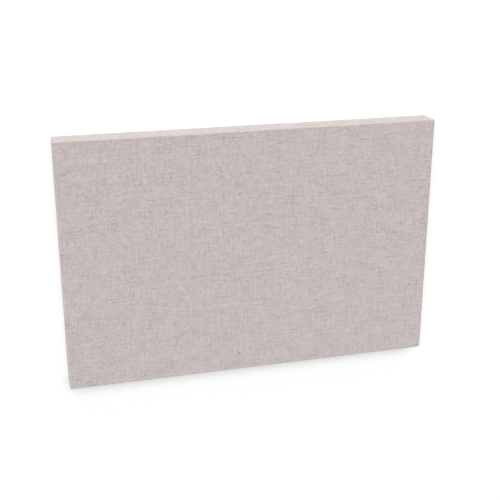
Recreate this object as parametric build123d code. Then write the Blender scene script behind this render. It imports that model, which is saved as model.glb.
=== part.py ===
from build123d import *
import os

# A cloth covered acoustic wall panel, lying on its back on a level floor with its front up.
# Lengths are in millimetres. X runs along the panel's width, Y from its bottom edge to its top edge,
# and Z out of its front. The origin is the centre of the back, on the floor.

# Size of the finished panel, over the cloth
panel_width = 900.0
panel_height = 600.0
panel_depth = 60.0

# Cover cloth: one sheet over the front and the edges, turned onto the back
cloth_thickness = 1.0
cloth_return = 42.0
fold_gap = 0.6

# Wooden frame: two uprights with a rebate at each end, and two bars seated in the rebates
bar_thickness = 18.0
rebate_depth = 9.0
outer_arris_radius = 0.6
inner_arris_bevel = 2.5

# Absorber slab, pressed in between the bars
slab_clearance = 0.2

# Dust cloth over the back
dust_cloth_thickness = 0.5
dust_cloth_inset = 11.0

# The frame fills the room that the two cloths leave
frame_width = panel_width - 2 * cloth_thickness
frame_height = panel_height - 2 * cloth_thickness
frame_depth = panel_depth - 2 * cloth_thickness - dust_cloth_thickness
cover_back = dust_cloth_thickness
frame_back = cover_back + cloth_thickness
frame_front = frame_back + frame_depth
opening_width = frame_width - 2 * bar_thickness
opening_height = frame_height - 2 * bar_thickness

on_floor = (Align.CENTER, Align.CENTER, Align.MIN)


def rounded_block(width, height, depth, radius):
    """A block standing on the plane Z = 0, with every edge rounded."""
    block = Box(width, height, depth, align=on_floor)
    return fillet(block.edges(), radius)


def frame_envelope():
    """The outside of the frame, with the small round that a sander leaves on its edges."""
    return Pos(0, 0, frame_back) * rounded_block(frame_width, frame_height, frame_depth, outer_arris_radius)


def front_bevel():
    """What is planed off the inner front edges of the bars, so that they don't show through the cloth."""
    narrow = Pos(0, 0, frame_front - inner_arris_bevel) * Rectangle(opening_width, opening_height)
    wide = Pos(0, 0, frame_front) * Rectangle(
        opening_width + 2 * inner_arris_bevel, opening_height + 2 * inner_arris_bevel)
    return loft([narrow.face(), wide.face()])


def fabric_cover():
    """The cover cloth: front, four edges and four returns, with the folds of its corners on the back."""
    outer_radius = outer_arris_radius + cloth_thickness
    cover_depth = frame_depth + 2 * cloth_thickness
    outside = Pos(0, 0, cover_back) * rounded_block(panel_width, panel_height, cover_depth, outer_radius)
    back_opening = Pos(0, 0, cover_back) * Box(
        panel_width - 2 * cloth_return, panel_height - 2 * cloth_return, cloth_thickness, align=on_floor)
    cover = outside - frame_envelope() - back_opening
    # Each fold runs in from the flat's outer corner until it opens into the back opening
    fold_outer = outer_radius + fold_gap
    fold_inner = cloth_return + fold_gap
    fold_length = (fold_inner - fold_outer) * 2 ** 0.5
    fold_middle = (fold_inner + fold_outer) / 2
    for side_x in (-1, 1):
        for side_y in (-1, 1):
            corner = Pos(
                side_x * (panel_width / 2 - fold_middle), side_y * (panel_height / 2 - fold_middle), cover_back)
            turn = Rot(0, 0, 45 * side_x * side_y)
            cover -= corner * turn * Box(fold_length, fold_gap, cloth_thickness, align=on_floor)
    return cover


def stile(side_x):
    """An upright of the frame, full height, with a rebate across the inside of each end."""
    bar = Pos(side_x * (frame_width - bar_thickness) / 2, 0, frame_back) * Box(
        bar_thickness, frame_height, frame_depth, align=on_floor)
    rebate_x = side_x * (opening_width + rebate_depth) / 2
    for side_y in (-1, 1):
        rebate_y = side_y * (frame_height - bar_thickness) / 2
        bar -= Pos(rebate_x, rebate_y, frame_back) * Box(
            rebate_depth, bar_thickness, frame_depth, align=on_floor)
    return bar & (frame_envelope() - front_bevel())


def rail(side_y):
    """A cross bar of the frame, whose ends fill the rebates of the uprights."""
    length = opening_width + 2 * rebate_depth
    bar = Pos(0, side_y * (frame_height - bar_thickness) / 2, frame_back) * Box(
        length, bar_thickness, frame_depth, align=on_floor)
    return bar & (frame_envelope() - front_bevel())


def absorber_slab():
    """The wool slab, as deep as the frame."""
    return Pos(0, 0, frame_back) * Box(
        opening_width - 2 * slab_clearance, opening_height - 2 * slab_clearance, frame_depth, align=on_floor)


def dust_cloth():
    """The thin cloth that closes the back and covers the raw edges of the cover cloth."""
    return Box(
        panel_width - 2 * dust_cloth_inset, panel_height - 2 * dust_cloth_inset, dust_cloth_thickness,
        align=on_floor)


parts = {
    "fabric_cover": fabric_cover(),
    "absorber_slab": absorber_slab(),
    "left_stile": stile(-1),
    "right_stile": stile(1),
    "top_rail": rail(1),
    "bottom_rail": rail(-1),
    "dust_cloth": dust_cloth(),
}

os.makedirs("parts", exist_ok=True)
for name, solid in parts.items():
    export_step(solid, os.path.join("parts", name + ".step"))
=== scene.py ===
import itertools
import math
import random

import bmesh
import bpy
from mathutils import Matrix, Vector, noise


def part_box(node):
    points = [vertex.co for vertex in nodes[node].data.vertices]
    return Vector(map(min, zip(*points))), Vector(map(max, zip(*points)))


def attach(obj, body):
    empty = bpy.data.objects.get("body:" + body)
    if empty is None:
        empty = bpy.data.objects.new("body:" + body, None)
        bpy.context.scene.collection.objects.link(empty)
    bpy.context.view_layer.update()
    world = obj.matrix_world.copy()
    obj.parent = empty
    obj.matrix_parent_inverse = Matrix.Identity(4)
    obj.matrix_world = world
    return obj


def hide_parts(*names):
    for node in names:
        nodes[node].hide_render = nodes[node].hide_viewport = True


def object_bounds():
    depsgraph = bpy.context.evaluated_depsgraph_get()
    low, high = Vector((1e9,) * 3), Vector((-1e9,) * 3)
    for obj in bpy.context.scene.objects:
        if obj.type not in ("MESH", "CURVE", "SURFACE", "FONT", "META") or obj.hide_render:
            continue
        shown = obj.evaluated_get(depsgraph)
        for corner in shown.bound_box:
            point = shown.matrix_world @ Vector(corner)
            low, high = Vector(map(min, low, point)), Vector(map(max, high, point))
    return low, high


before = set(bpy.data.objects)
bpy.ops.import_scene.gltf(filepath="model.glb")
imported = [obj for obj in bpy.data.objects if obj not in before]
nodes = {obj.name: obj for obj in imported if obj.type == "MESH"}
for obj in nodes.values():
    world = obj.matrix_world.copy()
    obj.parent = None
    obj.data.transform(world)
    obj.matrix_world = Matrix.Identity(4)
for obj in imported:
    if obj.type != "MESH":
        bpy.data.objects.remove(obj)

# Lengths are in metres. X runs along the panel's width, Y from its bottom edge to its top edge, and Z out
# of its front.
cad_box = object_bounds()

# Camera. The panel lies on its back, so the camera looks down on it. It stands where a viewer would stand
# who sees the upright panel from 15 degrees left of square on and from 20 degrees above.
scene = bpy.context.scene
panel_low, panel_high = cad_box
panel_size = panel_high - panel_low
panel_middle = (panel_low + panel_high) / 2
view_from_left = math.radians(15)
view_from_above = math.radians(20)
view_distance = 2.504 * panel_size.x
field_of_view = math.radians(30)

to_viewer = Vector((
    -math.sin(view_from_left) * math.cos(view_from_above),
    math.sin(view_from_above),
    math.cos(view_from_left) * math.cos(view_from_above),
))
view_right = Vector((0, 1, 0)).cross(to_viewer).normalized()
view_up = to_viewer.cross(view_right)
camera_data = bpy.data.cameras.new("camera")
camera_data.angle = field_of_view
camera = bpy.data.objects.new("camera", camera_data)
camera.matrix_world = Matrix.Translation(panel_middle + view_distance * to_viewer) @ Matrix(
    (view_right, view_up, to_viewer)).transposed().to_4x4()
scene.collection.objects.link(camera)
scene.camera = camera

# Wooden frame. Two uprights and two cross bars of planed softwood, 18 mm thick, glued together at rebated
# corners. They keep the panel's edges straight, and both cloths are stapled to their backs.
bars_across = ("top_rail", "bottom_rail")
bars_upright = ("left_stile", "right_stile")
softwood_light = (0.62, 0.44, 0.25, 1)
softwood_dark = (0.40, 0.23, 0.10, 1)
growth_ring_width = 0.006
ring_waver = 9.0
ring_waver_to_metre = 22
ring_drawn_out = 0.05
late_wood_crowding = 3.0
late_wood_darkness = 0.55
softwood_fibres_to_metre = 2400
softwood_fibre_drawn_out = 0.02
softwood_fibre_darkness = 0.3
late_wood_roughness = 0.55
early_wood_roughness = 0.70
softwood_relief = 0.00007


def add_node(tree, kind, inputs=None, **options):
    """Adds a shader node, sets its options, and links or sets each input that is named or numbered."""
    node = tree.nodes.new(kind)
    for option, value in options.items():
        setattr(node, option, value)
    for socket, value in (inputs or {}).items():
        if isinstance(value, bpy.types.NodeSocket):
            tree.links.new(value, node.inputs[socket])
        else:
            node.inputs[socket].default_value = value
    return node


def maths(tree, operation, *values):
    """One step of arithmetic on values or node outputs."""
    return add_node(tree, "ShaderNodeMath", dict(enumerate(values)), operation=operation).outputs[0]


def between(tree, factor, first, second):
    """The first value where the factor is 0, and the second where it is 1."""
    return maths(tree, "MULTIPLY_ADD", factor, second - first, first)


def blend_colours(tree, factor, first, second):
    """The first colour where the factor is 0, and the second where it is 1."""
    return add_node(tree, "ShaderNodeMix", {0: factor, 6: first, 7: second}, data_type="RGBA").outputs[2]


def blotches(tree, place, to_metre, detail=2.0, flat=False):
    """Cloudy noise from 0 to 1, with about this many blotches to the metre."""
    return add_node(
        tree, "ShaderNodeTexNoise", {"Vector": place, "Scale": to_metre, "Detail": detail},
        noise_dimensions="2D" if flat else "3D").outputs[0]


def turned(tree, place, angle):
    """The place turned about Z."""
    return add_node(tree, "ShaderNodeMapping", {"Vector": place, "Rotation": (0, 0, angle)}).outputs[0]


def drawn_out(tree, place, factors):
    """The place multiplied along each axis, which draws a pattern out where the factor is small."""
    return add_node(tree, "ShaderNodeVectorMath", {0: place, 1: factors}, operation="MULTIPLY").outputs[0]


def start_group(name, sockets):
    """A group of shader nodes with these sockets, and the outputs of its input node."""
    group = bpy.data.node_groups.new(name, "ShaderNodeTree")
    for socket, (direction, kind) in sockets.items():
        group.interface.new_socket(name=socket, in_out=direction, socket_type=kind)
    return group, add_node(group, "NodeGroupInput").outputs


def start_material(name, **constants):
    """A material with these constants on its shader, its tree, its shader and the object's coordinates."""
    material = bpy.data.materials.new(name)
    material.use_nodes = True
    tree = material.node_tree
    shader = tree.nodes["Principled BSDF"]
    for socket, value in constants.items():
        shader.inputs[socket.replace("_", " ")].default_value = value
    place = add_node(tree, "ShaderNodeTexCoord").outputs["Object"]
    return material, tree, shader, place


def dress_shader(tree, shader, colour, height, depth, roughness=None):
    """Links to the shader the colour, a relief of this depth in metres, and a roughness that varies."""
    relief = add_node(tree, "ShaderNodeBump", {"Height": height, "Distance": depth})
    tree.links.new(colour, shader.inputs["Base Color"])
    tree.links.new(relief.outputs[0], shader.inputs["Normal"])
    if roughness is not None:
        tree.links.new(roughness, shader.inputs["Roughness"])


# The grain runs along X: rings that waver, each darkening towards its late wood, and fine fibres.
softwood, softwood_in = start_group("softwood_grain", {
    "Place": ("INPUT", "NodeSocketVector"),
    "Colour": ("OUTPUT", "NodeSocketColor"),
    "Height": ("OUTPUT", "NodeSocketFloat")})
ring_place = drawn_out(softwood, softwood_in["Place"], (ring_drawn_out, 1, 1))
_, ring_place_y, ring_place_z = add_node(softwood, "ShaderNodeSeparateXYZ", {0: ring_place}).outputs
rings = maths(
    softwood, "MULTIPLY", maths(softwood, "ADD", ring_place_y, ring_place_z), 1 / growth_ring_width)
waver = blotches(softwood, ring_place, ring_waver_to_metre, detail=3)
rings = maths(softwood, "MULTIPLY_ADD", waver, ring_waver, rings)
late_wood = maths(softwood, "POWER", maths(softwood, "FRACT", rings), late_wood_crowding)
fibre_place = drawn_out(softwood, softwood_in["Place"], (softwood_fibre_drawn_out, 1, 1))
fibre = blotches(softwood, fibre_place, softwood_fibres_to_metre, detail=1)
darkness = maths(
    softwood, "MULTIPLY_ADD", late_wood, late_wood_darkness,
    maths(softwood, "MULTIPLY", fibre, softwood_fibre_darkness))
add_node(softwood, "NodeGroupOutput", {
    "Colour": blend_colours(softwood, darkness, softwood_light, softwood_dark),
    "Height": maths(softwood, "SUBTRACT", 1.0, darkness)})

for material_name, bars, turn in (
        ("softwood_across", bars_across, 0),
        ("softwood_upright", bars_upright, math.pi / 2)):
    material, tree, shader, place = start_material(material_name, Specular_IOR_Level=0.3)
    grain = add_node(
        tree, "ShaderNodeGroup", {"Place": turned(tree, place, turn)}, node_tree=softwood).outputs
    roughness = between(tree, grain["Height"], late_wood_roughness, early_wood_roughness)
    dress_shader(tree, shader, grain["Colour"], grain["Height"], softwood_relief, roughness)
    for bar in bars:
        nodes[bar].data.materials.clear()
        nodes[bar].data.materials.append(material)

# Absorber slab. A batt of mineral wool as deep as the frame, cut with a knife and pressed in between the
# bars. Its fibres lie in layers, which show on the cut sides, and its faces are slightly uneven.
slab_low, slab_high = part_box("absorber_slab")
slab_size = slab_high - slab_low
slab_edge_round = 0.0015
slab_mesh_step = 0.011
slab_unevenness = 0.0006
slab_lump_size = 0.035
wool_light = (0.50, 0.43, 0.26, 1)
wool_dark = (0.25, 0.20, 0.10, 1)
wool_curl = 0.03
wool_curls_to_metre = 30
wool_layer_thickness = 0.0022
wool_layer_drawn_out = 0.12
wool_fibres_to_metre = 1500
wool_layer_contrast = 0.9
wool_fibre_contrast = 0.9
wool_darkest = -0.85
wool_relief = 0.00064
# Fine fibres lie two ways across each other, each way turned by its own angle in radians
fibre_drawn_out = 0.1
fibre_turns = {"One Way": 0.6, "Other Way": -0.8}
# Nearer than this, two places count as one
same_place = 1e-5


def start_block(low, high, edge_round, segments):
    """A block between two corners, with every edge rounded."""
    shape = bmesh.new()
    bmesh.ops.create_cube(shape, size=1)
    bmesh.ops.scale(shape, vec=high - low, verts=shape.verts)
    bmesh.ops.translate(shape, vec=(low + high) / 2, verts=shape.verts)
    bmesh.ops.bevel(
        shape, geom=shape.edges[:], offset=edge_round, segments=segments, profile=0.5, affect="EDGES",
        material=-1)
    return shape


def divide_long_edges(shape, size, mesh_step):
    """Cuts the edges that run the length of the block, along each axis, into steps of about this length."""
    for axis in range(3):
        long_edges = []
        for edge in shape.edges:
            run = edge.verts[1].co - edge.verts[0].co
            if abs(run[axis]) > max(size[axis] / 2, run.length - same_place):
                long_edges.append(edge)
        bmesh.ops.subdivide_edges(
            shape, edges=long_edges, cuts=round(size[axis] / mesh_step) - 1, use_grid_fill=True)


def lumps(place, lump_size):
    """Soft lumps of about this size, from 0 to 1."""
    return min(max(0.5 + 0.5 * noise.noise(place / lump_size), 0), 1)


def sink_unevenly(shape, depth, lump_size):
    """Presses the surface in by up to this depth, in soft lumps."""
    shape.normal_update()
    for vertex in shape.verts:
        vertex.co -= vertex.normal * depth * lumps(vertex.co, lump_size)


def finish_piece(shape, name, material):
    """Makes the piece's object from its bmesh. It rides on the one body."""
    for face in shape.faces:
        face.smooth = True
    mesh = bpy.data.meshes.new(name)
    shape.to_mesh(mesh)
    shape.free()
    mesh.materials.append(material)
    piece = bpy.data.objects.new(name, mesh)
    scene.collection.objects.link(piece)
    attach(piece, "root")
    return piece


def wandering(tree, place, to_metre, reach, detail=2.0, flat=False):
    """The place pushed aside by up to about half this reach, so that what is drawn on it wavers."""
    push = add_node(
        tree, "ShaderNodeTexNoise", {"Vector": place, "Scale": to_metre, "Detail": detail},
        noise_dimensions="2D" if flat else "3D").outputs[1]
    push = add_node(tree, "ShaderNodeVectorMath", {0: push, 3: reach}, operation="SCALE").outputs[0]
    return add_node(tree, "ShaderNodeVectorMath", {0: place, 1: push}, operation="ADD").outputs[0]


slab_shape = start_block(slab_low, slab_high, slab_edge_round, segments=2)
divide_long_edges(slab_shape, slab_size, slab_mesh_step)
sink_unevenly(slab_shape, slab_unevenness, slab_lump_size)

# The crossed fine fibres. The dust cloth's web is made of them too.
crossed_fibres, crossed_in = start_group("crossed_fibres", {
    "Place": ("INPUT", "NodeSocketVector"),
    "Fibres to Metre": ("INPUT", "NodeSocketFloat"),
    "One Way": ("OUTPUT", "NodeSocketFloat"),
    "Other Way": ("OUTPUT", "NodeSocketFloat")})
fibres_out = {}
for way, turn in fibre_turns.items():
    fibre_place = turned(crossed_fibres, crossed_in["Place"], turn)
    fibre_place = drawn_out(crossed_fibres, fibre_place, (fibre_drawn_out, 1, 1))
    fibres_out[way] = blotches(crossed_fibres, fibre_place, crossed_in["Fibres to Metre"])
add_node(crossed_fibres, "NodeGroupOutput", fibres_out)

material, tree, shader, place = start_material(
    "mineral_wool", Roughness=0.95, Specular_IOR_Level=0.15, Sheen_Weight=0.25, Sheen_Roughness=0.6)
curled = wandering(tree, place, wool_curls_to_metre, wool_curl)
layer_place = drawn_out(tree, curled, (wool_layer_drawn_out, wool_layer_drawn_out, 1))
layers = blotches(tree, layer_place, 1 / wool_layer_thickness, detail=3)
fibres = add_node(
    tree, "ShaderNodeGroup", {"Place": curled, "Fibres to Metre": wool_fibres_to_metre},
    node_tree=crossed_fibres).outputs
wool_tone = maths(tree, "MULTIPLY_ADD", layers, wool_layer_contrast, wool_darkest)
for way in fibre_turns:
    wool_tone = maths(tree, "MULTIPLY_ADD", fibres[way], wool_fibre_contrast, wool_tone)
dress_shader(tree, shader, blend_colours(tree, wool_tone, wool_dark, wool_light), wool_tone, wool_relief)
slab = finish_piece(slab_shape, "wool_slab", material)
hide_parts("absorber_slab")

# Cover cloth. One sheet of heathered, linen-like upholstery cloth, cut square and pulled tight over the
# front and the four edges. At each corner its spare cloth is folded in on itself, and it ends on the back.
cover_low, cover_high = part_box("fabric_cover")
cover_size = cover_high - cover_low
cloth_thickness = 0.0008
cloth_return = 0.042
cloth_round = 0.0016
cloth_mesh_step = 0.005
cloth_unevenness = 0.00015
cloth_wave = 0.045
# The fold at the end of each short side: how many rows of the mesh are drawn together there and how
# closely, how deep the fold line is, how much lower the cloth lies beside it, and how soon both fade out
fold_rows = 8
fold_crowding = 1.9
fold_depth = 0.0007
flap_step = 0.00045
flap_fade = 0.010
fold_fade = 0.008
# The fold behind each corner, where two returns meet: how wide and how deep its turned-in edges are
mitre_width = 0.0010
mitre_depth = 0.00045
# How far, and over what length, the threads stray from straight lines
grain_bow = 0.0015
grain_bow_size = 0.25
thread_wander = 0.0007
thread_wanders_to_metre = 70
# The yarns, all in one colour of slightly different dyed fibres, with shade painted into the crevices
# between them
cloth_colour = (0.558, 0.497, 0.485)
yarn_pitch = 0.0016
yarn_fullness = 0.6
float_end_height = 0.45
crevice_shade = 0.45
mean_crown = 0.55
thick_place_length = 0.009
thick_place_width = 0.0026
thick_place_push = 0.0009
fibre_length = 0.003
fibre_width = 0.00022
fibre_twist = 0.35
fibre_contrast = 0.22
fibre_relief = 0.35
heather_length = 0.009
heather_contrast = 0.17
# Slubs of the weft and of the warp: length, the width that neighbouring yarns share, and contrast
weft_slubs = ((0.300, 0.0100, 0.08), (0.060, 0.0050, 0.12), (0.026, 0.0048, 0.20), (0.0095, 0.0042, 0.24))
warp_slubs = ((0.110, 0.0046, 0.09), (0.027, 0.0046, 0.18))
patch_size = 0.03
patchiness = 1.8
mottle_size = 0.006
mottle_contrast = 0.09
cloud_size = 0.038
cloud_contrast = 0.08
darker_streaks = 1.2
slub_relief = 0.8
cloth_relief = 0.00028
# How far apart neighbouring yarns lie in the noise, so that none looks like the next, and the place of each
# pattern there
fibre_shift = 13.7
heather_shift = 5.37
noise_places = itertools.count(100, 57)

cover_shape = start_block(cover_low, cover_high, cloth_round, segments=3)
back_face = min(cover_shape.faces, key=lambda face: face.calc_center_median().z)
bmesh.ops.inset_individual(
    cover_shape, faces=[back_face], thickness=cloth_return - cloth_round, use_even_offset=True)
bmesh.ops.delete(cover_shape, geom=[back_face], context="FACES_ONLY")
divide_long_edges(cover_shape, cover_size, cloth_mesh_step)
return_edges = [edge for edge in cover_shape.edges if edge.calc_length() > cloth_return / 2]
bmesh.ops.subdivide_edges(
    cover_shape, edges=return_edges, cuts=round(cloth_return / cloth_mesh_step) - 1, use_grid_fill=True)


def from_edges(place):
    """How far a place on the cover lies from the nearer short side and from the nearer long side."""
    return cover_high.x - abs(place.x), cover_high.y - abs(place.y)


def on_back(vertex):
    """Whether this vertex of the cover lies on the back of the panel."""
    return vertex.co.z < cover_low.z + same_place


def on_mitre(vertex):
    """Whether this vertex lies where the returns of a long and a short side meet, clear of the corner."""
    from_short, from_long = from_edges(vertex.co)
    return on_back(vertex) and abs(from_short - from_long) < same_place and from_short > 2 * cloth_round


# The spare cloth is folded in at the ends of the short sides. The long side's cloth comes round the corner
# to the fold line, and the short side's cloth goes under it.
row_height = (cover_size.y - 2 * cloth_round) / round(cover_size.y / cloth_mesh_step)
for vertex in cover_shape.verts:
    from_short, from_long = from_edges(vertex.co)
    on_return = on_back(vertex) and min(from_short, from_long) > cloth_round + same_place
    row = round((from_long - cloth_round) / row_height)
    if 0 < row < fold_rows and not on_return:
        drawn = fold_rows * row_height * (row / fold_rows) ** fold_crowding
        vertex.co.y = math.copysign(cover_high.y - cloth_round - drawn, vertex.co.y)
        if from_short < same_place:
            depth = fold_depth if row == 1 else flap_step * math.exp(-drawn / flap_fade)
            below_front = min((cover_high.z - vertex.co.z) / fold_fade, 1)
            vertex.co.x -= math.copysign(depth * below_front, vertex.co.x)

# Behind each corner, two returns meet in a fold at 45 degrees, whose edges turn in.
mitre_edges = [edge for edge in cover_shape.edges if all(on_mitre(end) for end in edge.verts)]
bmesh.ops.bevel(
    cover_shape, geom=mitre_edges, offset=mitre_width / 2, segments=2, profile=0.5, affect="EDGES",
    material=-1)
for vertex in cover_shape.verts:
    if on_mitre(vertex):
        vertex.co.z += mitre_depth
sink_unevenly(cover_shape, cloth_unevenness, cloth_wave)

# The cut's own flat coordinates, in metres, so that the weave runs on over the edges as in one sheet. A
# face that leans back belongs to the turn onto the back, and for one that faces back, the nearer edge tells
# whether it is a long or a short side's cloth.
leaning_back = -0.1
facing_back = -0.5
cut_place = cover_shape.loops.layers.uv.new("cut_cloth")
cover_shape.normal_update()
for face in cover_shape.faces:
    behind = face.normal.z < leaning_back
    if face.normal.z < facing_back:
        from_short, from_long = from_edges(face.calc_center_median())
        over_long_side = from_long < from_short
    else:
        over_long_side = abs(face.normal.y) > abs(face.normal.x)
    axis = 1 if over_long_side else 0
    for loop in face.loops:
        flat = [loop.vert.co.x, loop.vert.co.y]
        reach = abs(flat[axis])
        if behind:
            reach = 2 * cover_high[axis] - reach
        turned_down = cover_high.z - loop.vert.co.z
        flat[axis] = math.copysign(reach + turned_down, flat[axis])
        bow = noise.noise_vector(Vector((*flat, 0)) / grain_bow_size)
        loop[cut_place].uv = (flat[0] + grain_bow * bow.x, flat[1] + grain_bow * bow.y)


def noise_on_yarn(tree, along, length, across):
    """Cloudy noise from 0 to 1, drawn out to this length along the yarn, at a place of its own."""
    spot = add_node(tree, "ShaderNodeCombineXYZ", {
        0: maths(tree, "MULTIPLY", along, 1 / length), 1: maths(tree, "ADD", across, next(noise_places))})
    return blotches(tree, spot.outputs[0], 1, detail=1, flat=True)


def add_pattern(tree, total, pattern, contrast):
    """The total with a pattern from 0 to 1 added, so that it swings by the contrast to both sides."""
    return maths(tree, "MULTIPLY_ADD", maths(tree, "SUBTRACT", pattern, 0.5), 2 * contrast, total)


def parallel_yarns(tree, counted, along, slubs):
    """One set of parallel yarns: each one's number, rounded section, tone and twisted fibres."""
    thickness = noise_on_yarn(
        tree, along, thick_place_length, maths(tree, "MULTIPLY", counted, 1 / thick_place_width))
    counted = maths(tree, "MULTIPLY_ADD", thickness, thick_place_push, counted)
    in_yarns = maths(tree, "MULTIPLY", counted, 1 / yarn_pitch)
    number = maths(tree, "FLOOR", in_yarns)
    from_middle = maths(tree, "SUBTRACT", maths(tree, "FRACT", in_yarns), 0.5)
    section = maths(tree, "COSINE", maths(tree, "MULTIPLY", from_middle, math.pi))
    across_twist = maths(
        tree, "MULTIPLY_ADD", along, fibre_twist, maths(tree, "MULTIPLY", from_middle, yarn_pitch))
    fibres = noise_on_yarn(tree, along, fibre_length, maths(
        tree, "MULTIPLY_ADD", across_twist, 1 / fibre_width, maths(tree, "MULTIPLY", number, fibre_shift)))
    heather = noise_on_yarn(tree, along, heather_length, maths(tree, "MULTIPLY", number, heather_shift))
    tone = add_pattern(tree, 0.0, heather, heather_contrast)
    for length, width, contrast in slubs:
        slub = noise_on_yarn(tree, along, length, maths(tree, "MULTIPLY", number, yarn_pitch / width))
        tone = add_pattern(tree, tone, slub, contrast)
    return number, section, tone, fibres


def of_top_yarn(tree, warp_on_top, of_warp, of_weft):
    """The value of whichever yarn lies on top here."""
    return add_node(tree, "ShaderNodeMix", {0: warp_on_top, 2: of_weft, 3: of_warp}).outputs[0]


material, tree, shader, place = start_material(
    "heathered_cloth", Roughness=0.9, Specular_IOR_Level=0.2, Sheen_Weight=0.08, Sheen_Roughness=0.5)
cut = add_node(tree, "ShaderNodeUVMap", uv_map="cut_cloth").outputs[0]
thread_place = wandering(tree, cut, thread_wanders_to_metre, thread_wander, detail=1, flat=True)
across, up, _ = add_node(tree, "ShaderNodeSeparateXYZ", {0: thread_place}).outputs
warp_number, warp_section, warp_tone, warp_fibres = parallel_yarns(tree, across, up, warp_slubs)
weft_number, weft_section, weft_tone, weft_fibres = parallel_yarns(tree, up, across, weft_slubs)
warp_on_top = maths(tree, "PINGPONG", maths(tree, "ADD", warp_number, weft_number), 1.0)
ridge = of_top_yarn(tree, warp_on_top, warp_section, weft_section)
dip = of_top_yarn(tree, warp_on_top, weft_section, warp_section)
fibres = of_top_yarn(tree, warp_on_top, warp_fibres, weft_fibres)
tone = of_top_yarn(tree, warp_on_top, warp_tone, weft_tone)
crown = maths(tree, "POWER", ridge, yarn_fullness)
crown = maths(tree, "MULTIPLY", crown, between(tree, dip, float_end_height, 1))

# Slubs show in some patches more than in others, and dark ones stand out more than light ones.
patches = blotches(tree, cut, 1 / patch_size, detail=1)
tone = maths(tree, "MULTIPLY", tone, between(tree, patches, 1 - patchiness / 2, 1 + patchiness / 2))
tone = add_pattern(tree, tone, blotches(tree, cut, 1 / mottle_size, detail=1), mottle_contrast)
tone = add_pattern(tree, tone, blotches(tree, cut, 1 / cloud_size), cloud_contrast)
tone = maths(tree, "MULTIPLY_ADD", maths(tree, "MULTIPLY", tone, tone), -darker_streaks, tone)
# Painted shade: the colour is darkened in the crevices between the yarns, and left as it is at the mean
# crown.
crevice_shading = maths(tree, "MULTIPLY_ADD", crown, crevice_shade, 1 - crevice_shade * mean_crown)
brightness = maths(tree, "ADD", add_pattern(tree, tone, fibres, fibre_contrast), 1.0)
brightness = maths(tree, "MULTIPLY", crevice_shading, brightness)
colour = add_node(
    tree, "ShaderNodeVectorMath", {0: cloth_colour, 3: brightness}, operation="SCALE").outputs[0]
yarn_height = maths(tree, "MULTIPLY_ADD", fibres, fibre_relief, crown)
yarn_height = maths(tree, "MULTIPLY_ADD", tone, slub_relief, yarn_height)
dress_shader(tree, shader, colour, yarn_height, cloth_relief)

cover = finish_piece(cover_shape, "cover_cloth", material)
thickness = cover.modifiers.new("thickness", "SOLIDIFY")
thickness.thickness = cloth_thickness
thickness.offset = -1
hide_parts("fabric_cover")

# Dust cloth. A thin black spunbonded sheet that hides the raw edges of the returns and keeps loose fibres
# in. Its edge is folded under once and stapled through both layers, so it puckers at each staple and is
# slack elsewhere.
dust_low, dust_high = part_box("dust_cloth")
dust_size = dust_high - dust_low
dust_mesh_step = 0.006
dust_hem = 0.012
dust_fold_height = 0.00014
dust_lowest = 0.00010
dust_pucker_height = 0.00022
dust_pucker_along = 0.008
dust_pucker_inward = 0.026
dust_slack = 0.0011
dust_slack_from = 0.030
dust_slack_over = 0.050
dust_wave = 0.11
dust_crease = 0.032
dust_crease_share = 0.3
dust_crease_level = 0.3
dust_staple_inset = 0.0055
dust_staple_spacing = 0.062
dust_staple_from_corner = 0.025
nonwoven_black = (0.012, 0.012, 0.013, 1)
nonwoven_fibre = (0.045, 0.045, 0.048, 1)
nonwoven_fibres_to_metre = 2600
nonwoven_clumps_to_metre = 160
nonwoven_clumping = 3.0
nonwoven_thinnest = 0.6
bond_pitch = 0.0014
bond_sharpness = 4.0
bond_melt = 0.8
web_roughness = 0.80
bond_roughness = 0.45
nonwoven_relief = 0.00015


def places_along_edges(half_x, half_y, spacing, from_corner):
    """Evenly spaced places along the four edges of a rectangle, each with whether its edge runs along Y."""
    places = []
    for half_run, half_across, runs_along_y in ((half_x, half_y, False), (half_y, half_x, True)):
        first = from_corner - half_run
        gaps = round(-2 * first / spacing)
        for number in range(gaps + 1):
            along = first - 2 * first * number / gaps
            for across in (-half_across, half_across):
                place = (across, along) if runs_along_y else (along, across)
                places.append((*place, runs_along_y))
    return places


dust_staples = places_along_edges(
    dust_high.x - dust_staple_inset, dust_high.y - dust_staple_inset, dust_staple_spacing,
    dust_staple_from_corner)


def dust_height(x, y):
    """How high the dust cloth lies here: drawn up at the staples, and slack in the middle."""
    pull = 0
    for staple_x, staple_y, runs_along_y in dust_staples:
        along, inward = (y - staple_y, x - staple_x) if runs_along_y else (x - staple_x, y - staple_y)
        pull = max(pull, math.exp(-(along / dust_pucker_along) ** 2 - (inward / dust_pucker_inward) ** 2))
    from_edge = min(dust_high.x - abs(x), dust_high.y - abs(y))
    slack = min(max((from_edge - dust_slack_from) / dust_slack_over, 0), 1)
    wave = (1 - dust_crease_share) * lumps(Vector((x, y, 0)), dust_wave)
    crease = dust_crease_share * lumps(Vector((x, y, dust_crease_level)), dust_crease)
    return dust_lowest + dust_pucker_height * pull + dust_slack * slack * (wave + crease)


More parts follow.
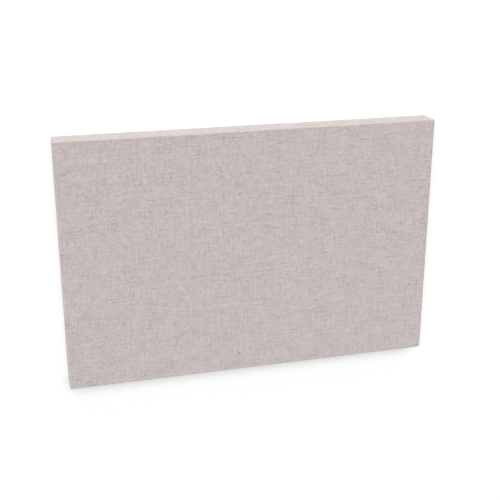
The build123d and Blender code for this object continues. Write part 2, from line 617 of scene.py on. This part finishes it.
dust_shape = bmesh.new()
bmesh.ops.create_grid(
    dust_shape, x_segments=round(dust_size.x / dust_mesh_step),
    y_segments=round(dust_size.y / dust_mesh_step), size=0.5)
bmesh.ops.scale(dust_shape, vec=(dust_size.x, dust_size.y, 1), verts=dust_shape.verts)
bmesh.ops.reverse_faces(dust_shape, faces=dust_shape.faces)
for vertex in dust_shape.verts:
    vertex.co.z = dust_height(vertex.co.x, vertex.co.y)
border = [edge for edge in dust_shape.edges if edge.is_boundary]
for draw_in in (0, dust_hem):
    hem = bmesh.ops.extrude_edge_only(dust_shape, edges=border)["geom"]
    border = [part for part in hem if isinstance(part, bmesh.types.BMEdge) and part.is_boundary]
    hem_points = [part for part in hem if isinstance(part, bmesh.types.BMVert)]
    bmesh.ops.scale(
        dust_shape, vec=(1 - 2 * draw_in / dust_size.x, 1 - 2 * draw_in / dust_size.y, 1), verts=hem_points)
    for vertex in hem_points:
        vertex.co.z = dust_height(vertex.co.x, vertex.co.y) + dust_fold_height

# Rows of small melted dots bond the web, and stand in it like a fine embossing.
material, tree, shader, place = start_material(
    "black_nonwoven", Specular_IOR_Level=0.25, Sheen_Weight=0.03, Sheen_Roughness=0.5)
across, up, _ = add_node(tree, "ShaderNodeSeparateXYZ", {0: place}).outputs
bond_rows = [
    maths(tree, "COSINE", maths(tree, "MULTIPLY", maths(tree, slant, across, up), math.pi / bond_pitch))
    for slant in ("ADD", "SUBTRACT")]
bonds = maths(tree, "MAXIMUM", maths(tree, "MULTIPLY", *bond_rows), 0.0)
bonds = maths(tree, "POWER", bonds, bond_sharpness)
fibres = add_node(
    tree, "ShaderNodeGroup", {"Place": place, "Fibres to Metre": nonwoven_fibres_to_metre},
    node_tree=crossed_fibres).outputs
clumps = blotches(tree, place, nonwoven_clumps_to_metre, detail=3)
web = maths(tree, "MULTIPLY", fibres["One Way"], fibres["Other Way"])
web_density = maths(tree, "MULTIPLY_ADD", clumps, nonwoven_clumping, nonwoven_thinnest)
web = maths(tree, "MULTIPLY", web, web_density)
web = maths(tree, "MULTIPLY", web, between(tree, bonds, 1, 1 - bond_melt))
roughness = between(tree, bonds, web_roughness, bond_roughness)
colour = blend_colours(tree, web, nonwoven_black, nonwoven_fibre)
dress_shader(tree, shader, colour, maths(tree, "SUBTRACT", web, bonds), nonwoven_relief, roughness)
dust_cloth = finish_piece(dust_shape, "dust_sheet", material)
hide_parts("dust_cloth")

# Staples. Galvanised wire staples, driven into the bars from behind by a staple gun. One row holds the
# returns of the cover cloth, and a second row, further in, holds the dust cloth.
staple_crown = 0.010
staple_leg = 0.008
staple_wire_width = 0.0009
staple_wire_depth = 0.00055
staple_lowest = 0.00003
staple_bend = 0.0004
staple_stray = 0.0007
staple_turn = math.radians(4)
cover_staple_inset = 0.0065
cover_staple_spacing = 0.046
cover_staple_from_corner = 0.020
zinc_light = (0.68, 0.69, 0.71, 1)
zinc_dark = (0.42, 0.43, 0.45, 1)
zinc_spangles_to_metre = 900
drawing_marks_to_metre = 6000
drawing_mark_drawn_out = 0.3
zinc_smoothest = 0.20
zinc_roughest = 0.55
zinc_relief = 0.00002

staple_shape = bmesh.new()
half_crown = staple_crown / 2
half_inside = half_crown - staple_wire_depth
outline = [
    (-half_crown, staple_leg), (-half_crown, 0), (half_crown, 0), (half_crown, staple_leg),
    (half_inside, staple_leg), (half_inside, staple_wire_depth), (-half_inside, staple_wire_depth),
    (-half_inside, staple_leg)]
flank = staple_shape.faces.new(
    [staple_shape.verts.new((along, -staple_wire_width / 2, up)) for along, up in outline])
pushed = bmesh.ops.extrude_face_region(staple_shape, geom=[flank])["geom"]
bmesh.ops.translate(
    staple_shape, vec=(0, staple_wire_width, 0),
    verts=[part for part in pushed if isinstance(part, bmesh.types.BMVert)])
bmesh.ops.recalc_face_normals(staple_shape, faces=staple_shape.faces)
outer_bends = [
    edge for edge in staple_shape.edges
    if all(end.co.z < staple_wire_depth / 2 for end in edge.verts) and edge.calc_length() < half_crown]
bmesh.ops.bevel(
    staple_shape, geom=outer_bends, offset=staple_bend, segments=3, profile=0.5, affect="EDGES",
    material=-1)
staple_mesh = bpy.data.meshes.new("staple")
staple_shape.to_mesh(staple_mesh)
staple_shape.free()

material, tree, shader, place = start_material("galvanised_wire", Metallic=1.0)
spangle = blotches(tree, place, zinc_spangles_to_metre, detail=3)
mark_place = drawn_out(tree, place, (drawing_mark_drawn_out, drawing_mark_drawn_out, 1))
drawing_marks = blotches(tree, mark_place, drawing_marks_to_metre, detail=1)
roughness = between(tree, drawing_marks, zinc_smoothest, zinc_roughest)
colour = blend_colours(tree, spangle, zinc_dark, zinc_light)
dress_shader(tree, shader, colour, drawing_marks, zinc_relief, roughness)

cover_staples = places_along_edges(
    cover_high.x - cover_staple_inset, cover_high.y - cover_staple_inset, cover_staple_spacing,
    cover_staple_from_corner)
hand = random.Random(12)
for name, places in (("cover_staples", cover_staples), ("dust_staples", dust_staples)):
    shape = bmesh.new()
    for x, y, runs_along_y in places:
        count_before = len(shape.verts)
        shape.from_mesh(staple_mesh)
        shape.verts.ensure_lookup_table()
        turn = hand.uniform(-staple_turn, staple_turn) + (math.pi / 2 if runs_along_y else 0)
        strayed_x = x + hand.uniform(-staple_stray, staple_stray)
        strayed_y = y + hand.uniform(-staple_stray, staple_stray)
        driven = Matrix.Translation((strayed_x, strayed_y, staple_lowest)) @ Matrix.Rotation(turn, 4, "Z")
        bmesh.ops.transform(shape, matrix=driven, verts=shape.verts[count_before:])
    finish_piece(shape, name, material)

# Floor. A plain white ground that the panel lies on, larger than any view of it. It shows white to the
# camera and keeps the panel's soft shadow.
floor_size = 12.0
floor_whiteness = 0.9
floor_glow = 0.14


def seen_directly(tree):
    """1 for rays from the camera, a mirror or clear glass, and 0 for the rays that light things up."""
    rays = add_node(tree, "ShaderNodeLightPath").outputs
    through_glass = maths(tree, "MAXIMUM", rays["Is Glossy Ray"], rays["Is Transmission Ray"])
    return maths(tree, "MAXIMUM", rays["Is Camera Ray"], through_glass)


floor_shape = bmesh.new()
bmesh.ops.create_grid(floor_shape, x_segments=1, y_segments=1, size=floor_size / 2)
floor_mesh = bpy.data.meshes.new("floor")
floor_shape.to_mesh(floor_mesh)
floor_shape.free()
floor = bpy.data.objects.new("floor", floor_mesh)
scene.collection.objects.link(floor)
floor_look = bpy.data.materials.new("floor")
floor_look.use_nodes = True
tree = floor_look.node_tree
tree.nodes.clear()
matt = add_node(tree, "ShaderNodeBsdfDiffuse", {"Color": (*[floor_whiteness] * 3, 1)})
glow_strength = maths(tree, "MULTIPLY", seen_directly(tree), floor_glow)
glow = add_node(tree, "ShaderNodeEmission", {"Strength": glow_strength})
both = add_node(tree, "ShaderNodeAddShader", {0: matt.outputs[0], 1: glow.outputs[0]})
add_node(tree, "ShaderNodeOutputMaterial", {"Surface": both.outputs[0]})
floor_mesh.materials.append(floor_look)

# Light. Soft daylight from all round, broad lamps beyond the panel's top edge and to both sides of it, and
# a low one on its left. A lamp's bearing runs clockwise from the top edge, and its strength is what it adds
# to a white sheet that faces it.
sky_strength = 0.25
lamps = (
    # name, bearing, height and spread in degrees, strength
    ("main_lamp", 0, 57, 35, 0.25),
    ("left_lamp", -40, 57, 35, 0.40),
    ("right_lamp", 40, 57, 35, 0.14),
    ("low_top_lamp", 0, 12, 30, 0.35),
    ("low_left_lamp", -90, 12, 30, 0.20),
)

scene.view_settings.view_transform = "Standard"
world = bpy.data.worlds.new("world")
scene.world = world
world.use_nodes = True
tree = world.node_tree
tree.nodes.clear()
strength = between(tree, seen_directly(tree), sky_strength, 1)
background = add_node(tree, "ShaderNodeBackground", {"Color": (1, 1, 1, 1), "Strength": strength})
add_node(tree, "ShaderNodeOutputWorld", {"Surface": background.outputs[0]})
for name, bearing, height, spread, strength in lamps:
    lamp_data = bpy.data.lights.new(name, "SUN")
    lamp_data.energy = strength * math.pi
    lamp_data.angle = math.radians(spread)
    bearing, height = math.radians(bearing), math.radians(height)
    to_lamp = Vector((
        math.sin(bearing) * math.cos(height), math.cos(bearing) * math.cos(height), math.sin(height)))
    lamp = bpy.data.objects.new(name, lamp_data)
    lamp.rotation_mode = "QUATERNION"
    lamp.rotation_quaternion = to_lamp.to_track_quat("Z", "Y")
    scene.collection.objects.link(lamp)
